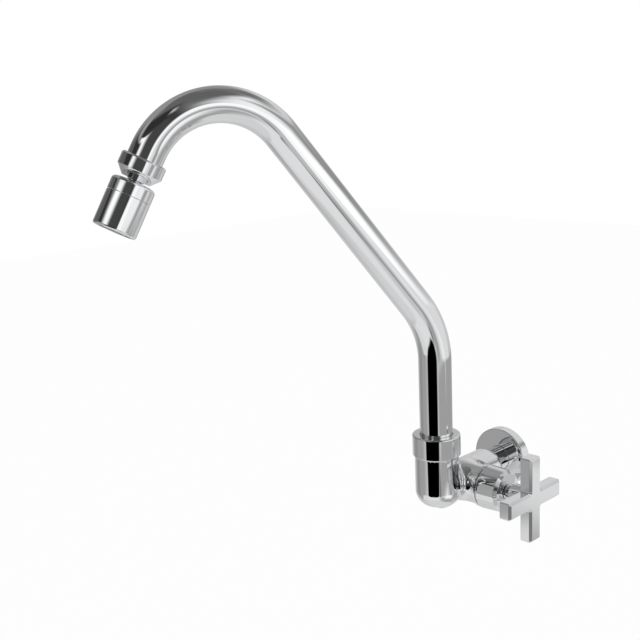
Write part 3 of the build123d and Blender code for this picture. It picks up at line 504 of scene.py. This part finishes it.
lip_bottom = SPOUT_NUT_TOP - SPOUT_NUT_LIP
lip_r = TUBE_R + LIP_TUBE_GAP
collar = lathe(
    [(ELBOW_TOP, SPOUT_NUT_BORE_R, CRISP), (ELBOW_TOP, SPOUT_NUT_R - SPOUT_NUT_EDGE, EASED),
     (ELBOW_TOP + SPOUT_NUT_EDGE, SPOUT_NUT_R, FULL), (SPOUT_NUT_TOP, SPOUT_NUT_R, SPOUT_NUT_EDGE),
     (SPOUT_NUT_TOP, lip_r, CRISP), (lip_bottom, lip_r, HIDDEN),
     (lip_bottom, SPOUT_NUT_BORE_R, CRISP)],
    swivel, Z, closed=True)
piece("collar_nut", [collar], "body", "nut_chrome", "spout_nut")

bonnet_foot = BOSS_END + BONNET_GAP
bonnet_face = bonnet_foot + BONNET_LENGTH
bonnet_inside = bonnet_face - BONNET_FACE_WALL
bonnet_bore = COVER_SPIGOT_R + THREAD_GAP
bonnet_slope = (BONNET_BASE_R - BONNET_FACE_R) / BONNET_LENGTH
bonnet = lathe(
    [(bonnet_foot, bonnet_bore, HIDDEN), (bonnet_foot, BONNET_BASE_R, FULL),
     (bonnet_face - BONNET_CHAMFER, BONNET_FACE_R + BONNET_CHAMFER * bonnet_slope, SOFT),
     (bonnet_face, BONNET_FACE_R - BONNET_CHAMFER, SOFT), (bonnet_face, BONNET_HOLE_R, SOFT),
     (bonnet_inside, BONNET_HOLE_R, HIDDEN), (bonnet_inside, bonnet_bore, HIDDEN)],
    valve, X, closed=True)
piece("bonnet_sleeve", [bonnet], "body", "bonnet_chrome", "bonnet_cover")

# ------------------------------------------------------------------ spout
spout_out = np.array([sin(radians(SPOUT_SWING)), -cos(radians(SPOUT_SWING)), 0.0])
spout_side = np.cross(spout_out, Z)


def in_spout(s, h):
    """A point of the spout's plane, s out from the swivel axis and h above the inlet axis."""
    return swivel + s * spout_out + h * Z


def heading(a):
    """Direction in the spout's plane at an angle from upright."""
    return sin(a) * spout_out + cos(a) * Z


def spout_line():
    """Stations (s, height, angle from upright) along the spout's centre line."""
    stations = [(0.0, TUBE_FOOT, 0.0), (0.0, LEG_TOP, 0.0)]
    bend = radians(LEG_BEND_ANGLE)
    for a in np.linspace(0, bend, LEG_BEND_STEPS + 1)[1:]:
        stations.append((LEG_BEND_R * (1 - cos(a)), LEG_TOP + LEG_BEND_R * sin(a), a))
    s, h, _ = stations[-1]
    s, h = s + SLANT_LENGTH * sin(bend), h + SLANT_LENGTH * cos(bend)
    stations.append((s, h, bend))
    centre_s, centre_h = s + ARCH_R * cos(bend), h - ARCH_R * sin(bend)
    for a in np.linspace(bend, bend + radians(ARCH_ANGLE), ARCH_STEPS + 1)[1:]:
        stations.append((centre_s - ARCH_R * cos(a), centre_h + ARCH_R * sin(a), a))
    s, h, a = stations[-1]
    stations.append((s + TIP_LENGTH * sin(a), h + TIP_LENGTH * cos(a), a))
    return stations


stations = spout_line()
rings, ring_normals = [], []
for s, h, a in stations:
    spoke = spokes(heading(a), spout_side, TUBE_SEGMENTS)
    rings.append(in_spout(s, h) + TUBE_R * spoke)
    ring_normals.append(spoke)
tube_faces = grid_faces(len(rings), TUBE_SEGMENTS)
tube_points, tube_normals = np.concatenate(rings), np.concatenate(ring_normals)
tube = (tube_points, tube_faces, tube_normals)
bore = (tube_points - tube_normals * TUBE_WALL, [face[::-1] for face in tube_faces], -tube_normals)
piece("spout_pipe", [tube, bore], "spout", "tube_chrome", "spout_tube")

# ------------------------------------------------------------------ cross handle
hub_back = bonnet_face + HUB_GAP
hub_step = hub_back + HUB_SLEEVE_LENGTH
cross_back = hub_back + HUB_LENGTH
cross_front = cross_back + CROSS_THICKNESS


def cross_outline(d, tip_steps=5, corner_steps=8):
    """Outline of the cross moved in by d, as points and outward normals, anticlockwise."""
    half, span = CROSS_ARM_WIDTH / 2 - d, CROSS_HALF_SPAN - d
    tip = max(CROSS_TIP_R - d, CROSS_SMALLEST_TIP_R)
    root = CROSS_ARM_WIDTH / 2 + CROSS_CORNER_R
    places, normals = [], []

    def arc(centre, radius, first, last, steps, sign):
        for k in range(steps + 1):
            a = first + (last - first) * k / steps
            spoke = np.array([cos(a), sin(a)])
            places.append(np.array(centre) + radius * spoke)
            normals.append(sign * spoke)

    arc((span - tip, -half + tip), tip, -pi / 2, 0, tip_steps, 1)
    arc((span - tip, half - tip), tip, 0, pi / 2, tip_steps, 1)
    arc((root, root), CROSS_CORNER_R + d, 1.5 * pi, pi, corner_steps, -1)
    quarter = np.array([[0.0, 1.0], [-1.0, 0.0]])
    arm, arm_normals = np.array(places), np.array(normals)
    places, normals = [], []
    for _ in range(4):
        places.append(arm)
        normals.append(arm_normals)
        arm, arm_normals = arm @ quarter, arm_normals @ quarter
    return np.concatenate(places), np.concatenate(normals)


def slab(profile, origin, axis, ref, steps=5):
    """The cross outline carried along an axis, its edge shaped by the profile of (along, out)."""
    u, v = around(axis, ref)
    places, normals = rounded(profile, steps=steps)
    verts, norms = [], []
    for (along, reach), (n_along, n_out) in zip(places, normals):
        points, outward = cross_outline(-reach)
        verts.append(origin + along * axis + points[:, :1] * u + points[:, 1:] * v)
        norms.append(n_along * axis + n_out * (outward[:, :1] * u + outward[:, 1:] * v))
    faces = capped_faces(len(places), len(verts[0]))
    return np.concatenate(verts), faces, np.concatenate(norms)


cross = slab(
    [(cross_back, -CROSS_CAP_INSET), (cross_back, -CROSS_BACK_CHAMFER, FINE),
     (cross_back + CROSS_BACK_CHAMFER, 0, FINE),
     (cross_front - CROSS_FRONT_CHAMFER, 0, CROSS_FRONT_ROUND),
     (cross_front, -CROSS_FRONT_CHAMFER, CROSS_FRONT_ROUND), (cross_front, -CROSS_CAP_INSET)],
    valve, X, Y)
hub = lathe(
    [(hub_back, HUB_CORE_R), (hub_back, HUB_SLEEVE_R, SOFT), (hub_step, HUB_SLEEVE_R, CRISP),
     (hub_step, HUB_BASE_R, SOFT), (cross_back + HUB_OVERLAP, HUB_TOP_R, 0.0),
     (cross_back + HUB_OVERLAP, HUB_CORE_R)],
    valve, X)
piece("cross_handle", [cross, hub], "handle", "handle_chrome", "handle_cross")

# ------------------------------------------------------------------ ball nut and aerator housing
s, h, a = stations[-1]
tip_down = heading(a)
nut_top = in_spout(s, h) - tip_down * BUSH_SEAT
nut_side_end = BALL_NUT_CHAMFER + BALL_NUT_SIDE
nut_end = nut_side_end + BALL_NUT_CONE
ball_centre = nut_top + tip_down * BALL_DEPTH
lean = radians(AERATOR_LEAN)
housing_down = tip_down * cos(lean) - spout_side * sin(lean)

ball_nut = lathe(
    [(0, lip_r, FINE), (0, BALL_NUT_R - BALL_NUT_CHAMFER, CRISP),
     (BALL_NUT_CHAMFER, BALL_NUT_R, EASED), (nut_side_end, BALL_NUT_R, CRISP),
     (nut_end, BALL_NUT_CONE_R, WIDE), (nut_end, BALL_NUT_HOLE_R, EASED),
     (nut_end - BALL_NUT_HOLE_WALL, BALL_NUT_CAVITY_R, HIDDEN),
     (BALL_NUT_ROOF, BALL_NUT_CAVITY_R, HIDDEN), (BALL_NUT_ROOF, lip_r, HIDDEN)],
    nut_top, tip_down, closed=True)
piece("ball_nut", [ball_nut], "spout", "aerator_chrome", "aerator_ball_nut")

neck_start = sqrt(BALL_R**2 - BALL_NECK_R**2)
sphere = [(-BALL_R * cos(t), BALL_R * sin(t), SOFT)
          for t in np.linspace(BALL_TOP_ANGLE, BALL_END_ANGLE, BALL_POINTS)]
ball = lathe(
    [p for p in sphere if p[0] < neck_start - BALL_NECK_CUT]
    + [(neck_start - BALL_NECK_STEP, BALL_NECK_R + BALL_NECK_STEP, SOFT),
       (BALL_NECK_END, BALL_NECK_R)],
    ball_centre, housing_down, steps=2)
piece("ball_stem", [ball], "aerator", "ball_chrome", "swivel_ball")

cap_hole = BALL_NECK_R + RUNNING_GAP
cap_inside = HOUSING_TOP + HOUSING_ROOF
cap = lathe(
    [(HOUSING_TOP, cap_hole, SOFT),
     (HOUSING_TOP + HOUSING_TOP_SLOPE, HOUSING_R, HOUSING_SHOULDER_R),
     (HOUSING_SEAM, HOUSING_R, FINE), (HOUSING_SEAM, HOUSING_BORE_R, HIDDEN),
     (cap_inside, HOUSING_BORE_R, HIDDEN), (cap_inside, cap_hole, HIDDEN)],
    ball_centre, housing_down, closed=True)
piece("housing_cap", [cap], "aerator", "aerator_chrome", "aerator_cap")

sleeve_top = HOUSING_SEAM + HOUSING_SEAM_GAP
spigot_top = HOUSING_SEAM - SHELL_SPIGOT_LENGTH
mouth_step = HOUSING_END - SHELL_MOUTH_DEPTH
sleeve = lathe(
    [(sleeve_top, SHELL_SPIGOT_R, HIDDEN), (sleeve_top, HOUSING_R, FINE),
     (HOUSING_END, HOUSING_R, HOUSING_EDGE_ROUND), (HOUSING_END, SHELL_MOUTH_R, WIDE),
     (mouth_step, SHELL_MOUTH_R, HIDDEN), (mouth_step, SHELL_BORE_R, HIDDEN),
     (spigot_top, SHELL_BORE_R, HIDDEN), (spigot_top, SHELL_SPIGOT_R, HIDDEN)],
    ball_centre, housing_down, closed=True)
piece("housing_sleeve", [sleeve], "aerator", "aerator_chrome", "aerator_shell")

# ------------------------------------------------------------------ camera, fitted to the photo
FOCAL_PX, PHOTO_PX, SENSOR = 1032.174, 640, 36.0
AZIMUTH, ELEVATION, ROLL = 0.801216, 0.221386, -0.0450688  # radians
CAMERA_AT = np.array([428.018, -599.725, 271.729])
right = np.array([cos(AZIMUTH), sin(AZIMUTH), 0.0])
back = np.array([sin(AZIMUTH) * cos(ELEVATION), -cos(AZIMUTH) * cos(ELEVATION), sin(ELEVATION)])
up = np.cross(back, right)
image_right = cos(ROLL) * right + sin(ROLL) * up
image_up = -sin(ROLL) * right + cos(ROLL) * up
camera_data = bpy.data.cameras.new("camera")
camera_data.sensor_width = SENSOR
camera_data.lens = FOCAL_PX * SENSOR / PHOTO_PX
camera_data.clip_start, camera_data.clip_end = 0.01, 50.0
camera = bpy.data.objects.new("camera", camera_data)
matrix = Matrix.Identity(4)
for k, column in enumerate((image_right, image_up, back, CAMERA_AT * MM)):
    for row in range(3):
        matrix[row][k] = column[row]
camera.matrix_world = matrix
bpy.context.scene.collection.objects.link(camera)
bpy.context.scene.camera = camera

# ------------------------------------------------------------------ studio
# The studio that the chrome shows, as levels over the direction of a ray. The level runs from the
# table's below to the ceiling's above, and each card is then laid over those before it. Angles are
# in degrees. A bearing of 0 looks from the object towards the camera, plus is the picture's right.
CEILING, TABLE, TABLE_EDGE, CEILING_EDGE = 0.133, 0.717, -51.2, 57.4
CARDS = [
    # bearing, half width, soft; height, half height, soft; lean, slant, bow; level
    (-175.5, 107.0, 26.2, 7.2, 51.8, 22.5, -0.03, -0.04, 0, 0.371),  # left wall
    (-168.9, 64.0, 11.6, 16.9, 45.3, 3.7, 0.08, -0.02, 0, 0.302),  # left wall, upper part
    (-116.1, 19.0, 25.7, 16.8, 23.0, 9.4, 0.93, -0.36, 0, 0.116),  # dark gap in the left wall
    (148.3, 61.1, 12.8, 66.5, 14.3, 19.8, -0.31, 0.13, 0, 0.175),  # ceiling behind
    (-161.3, 45.7, 34.9, 56.7, 5.1, 9.2, -0.03, -0.10, 0, 0.318),  # ceiling edge, left
    (160.4, 47.3, 37.9, -10.8, 36.7, 17.0, -0.80, -0.35, 0, 0.629),  # back wall
    (137.5, 41.6, 37.6, 27.4, 17.8, 2.0, -0.97, 0.30, 0, 0.693),  # back wall's light top
    (74.0, 46.0, 14.0, 9.9, 28.9, 4.2, 0.39, -0.19, 0, 0.785),  # glow of the right softbox
    (46.1, 15.4, 39.9, 28.8, 21.9, 14.0, 0.70, 0.15, 0, 0.991),  # its bright upper part
    (100.1, 50.3, 23.2, 23.9, 6.2, 12.6, -0.47, -0.17, 0, 0.309),  # grey strip above its core
    (54.8, 26.7, 34.1, 8.8, 5.4, 4.5, 0.73, 0.25, 0, 1.187),  # core of the right softbox
    (63.7, 47.8, 39.5, -47.3, 14.0, 9.6, -0.88, -0.04, 0, 0.380),  # table's grey right end
    (52.1, 17.5, 24.6, -27.5, 12.6, 23.7, -0.22, 0.21, 0, 1.057),  # low softbox, right
    (104.5, 88.7, 4.8, -16.8, 3.6, 1.5, 0.17, 0.03, 0, 0.379),  # grey rail under the softbox
    (-29.5, 41.6, 19.8, 28.9, 31.4, 13.4, -0.79, 0.15, 0, 0.029),  # dark front of the room
    (-12.7, 26.1, 7.1, 15.4, 17.8, 9.8, -0.66, -0.09, 0, 0.061),  # its part by the softbox
    (-48.6, 17.6, 25.3, 27.5, 6.9, 1.6, 0.10, -0.08, 0, 1.142),  # strip light, left
    (-9.1, 3.1, 10.7, 47.2, 2.9, 20.3, -0.70, 0.32, 0, 1.098),  # small lamp, front
    (-38.3, 44.0, 21.7, -37.3, 13.4, 3.1, 0.07, 0.01, 0, 0.819),  # pale table, middle
    (-77.3, 17.8, 12.5, -35.8, 12.2, 1.5, 0.89, 0.05, 0, 0.760),  # pale table, left
    (106.7, 2.9, 1.8, 42.1, 10.0, 10.6, 0.22, 0.00, 0, 0.485),  # small lamp, right
    (49.5, 22.0, 19.6, -6.0, 1.7, 2.1, 0.27, -0.44, 0, 0.973),  # edge of the low softbox
    (-75.5, 25.8, 16.3, 29.3, 2.8, 3.2, -0.42, -0.04, 0, 0.031),  # dark rail by the strip light
    (28.0, 7.0, 6.0, 1.0, 8.5, 6.0, 0.00, 0.00, 0, 1.100),  # near edge of the right softbox
    (10.0, 4.5, 4.0, -23.5, 2.5, 3.0, 0.00, 0.00, 0, 0.200),  # grey end of the flag
    (-26.0, 33.5, 6.0, -13.5, 15.0, 3.0, 0.00, 0.00, 10, 0.000),  # black flag below the camera
]
BOW_POWER = 4.0  # how late a bowed lower edge turns up


def wire(tree, kind, inputs, **settings):
    """Add a node, link or set its first inputs, and return its first output."""
    node = tree.nodes.new(kind)
    for key, value in settings.items():
        setattr(node, key, value)
    for socket, value in zip(node.inputs, inputs):
        if isinstance(value, bpy.types.NodeSocket):
            tree.links.new(value, socket)
        else:
            socket.default_value = value
    return node.outputs[0]


def maths(tree, operation, *inputs):
    return wire(tree, "ShaderNodeMath", inputs, operation=operation)


def ramp(tree, value, low, high, start, end):
    """Smooth step of value from start at low to end at high."""
    return wire(tree, "ShaderNodeMapRange", (value, low, high, start, end),
                interpolation_type="SMOOTHSTEP")


def within(tree, off, half, soft):
    """1 where off is less than half, 0 where it is more, over a soft edge."""
    return ramp(tree, off, half - soft / 2, half + soft / 2, 1.0, 0.0)


def moved(tree, value, target, share):
    """A value moved by a share of the way to its target."""
    return maths(tree, "MULTIPLY_ADD", maths(tree, "SUBTRACT", target, value), share, value)


world = bpy.data.worlds.new("studio")
bpy.context.scene.world = world
world.use_nodes = True
tree = world.node_tree
sky = tree.nodes["Background"]
coords = tree.nodes.new("ShaderNodeTexCoord")
split = tree.nodes.new("ShaderNodeSeparateXYZ")
tree.links.new(coords.outputs["Generated"], split.inputs[0])
east, north, height = split.outputs


def part_along(a, b):
    """The ray's part along the level direction (a, b)."""
    return maths(tree, "MULTIPLY_ADD", north, b, maths(tree, "MULTIPLY", east, a))


sideways = part_along(cos(AZIMUTH), sin(AZIMUTH))
forwards = part_along(sin(AZIMUTH), -cos(AZIMUTH))
bearing = maths(tree, "DEGREES", maths(tree, "ARCTAN2", sideways, forwards))
rise = maths(tree, "DEGREES", maths(tree, "ARCSINE", height))
level = ramp(tree, rise, TABLE_EDGE, CEILING_EDGE, TABLE, CEILING)
for az, az_half, az_soft, el, el_half, el_soft, card_lean, slant, bow, card in CARDS:
    turn = maths(tree, "SUBTRACT", bearing, az)
    turn = maths(tree, "WRAP", turn, 180.0, -180.0)
    lift = maths(tree, "SUBTRACT", rise, el)
    off = maths(tree, "ABSOLUTE", maths(tree, "MULTIPLY_ADD", lift, -card_lean, turn))
    across = within(tree, off, az_half, az_soft)
    near = maths(tree, "MAXIMUM", maths(tree, "MINIMUM", turn, az_half), -az_half)
    lift = maths(tree, "MULTIPLY_ADD", near, -slant, lift)
    if bow:
        rim = maths(tree, "POWER", maths(tree, "DIVIDE", near, az_half), BOW_POWER)
        low = maths(tree, "SUBTRACT", maths(tree, "MULTIPLY", rim, bow), lift)
        off = maths(tree, "MAXIMUM", lift, low)
    else:
        off = maths(tree, "ABSOLUTE", lift)
    along = within(tree, off, el_half, el_soft)
    level = moved(tree, level, card, maths(tree, "MULTIPLY", across, along))
# only glossy rays see the studio, and all others see an even white
path = tree.nodes.new("ShaderNodeLightPath")
level = moved(tree, level, 1.0, maths(tree, "SUBTRACT", 1.0, path.outputs["Is Glossy Ray"]))
sky.inputs["Color"].default_value = (1, 1, 1, 1)
tree.links.new(level, sky.inputs["Strength"])

# A pale floor below the tap. The camera sees it as white as the backdrop, with its shadow kept.
FLOOR_Z, FLOOR_HALF = -450.0, 4000.0
FLOOR_GLOW = 0.9  # share of the floor that the camera sees as plain white
floor_mesh = bpy.data.meshes.new("floor")
corners = [(x * FLOOR_HALF * MM, y * FLOOR_HALF * MM, FLOOR_Z * MM)
           for x, y in ((-1, -1), (1, -1), (1, 1), (-1, 1))]
floor_mesh.from_pydata(corners, [], [(0, 1, 2, 3)])
floor_paint = material("floor_paint", (0.88, 0.88, 0.88), 0.8, spread=0.01, scale=40.0)
paint = floor_paint.node_tree
glow = paint.nodes.new("ShaderNodeEmission")
glow.inputs["Color"].default_value = (1, 1, 1, 1)
path = paint.nodes.new("ShaderNodeLightPath")
seen = maths(paint, "MULTIPLY", path.outputs["Is Camera Ray"], FLOOR_GLOW)
both = wire(paint, "ShaderNodeMixShader",
            (seen, paint.nodes["Principled BSDF"].outputs[0], glow.outputs[0]))
paint.links.new(both, paint.nodes["Material Output"].inputs["Surface"])
floor_mesh.materials.append(floor_paint)
floor = bpy.data.objects.new("floor", floor_mesh)
bpy.context.scene.collection.objects.link(floor)
floor.visible_glossy = False  # the studio's pale table stands for it in the chrome

bpy.context.scene.view_settings.view_transform = "Standard"
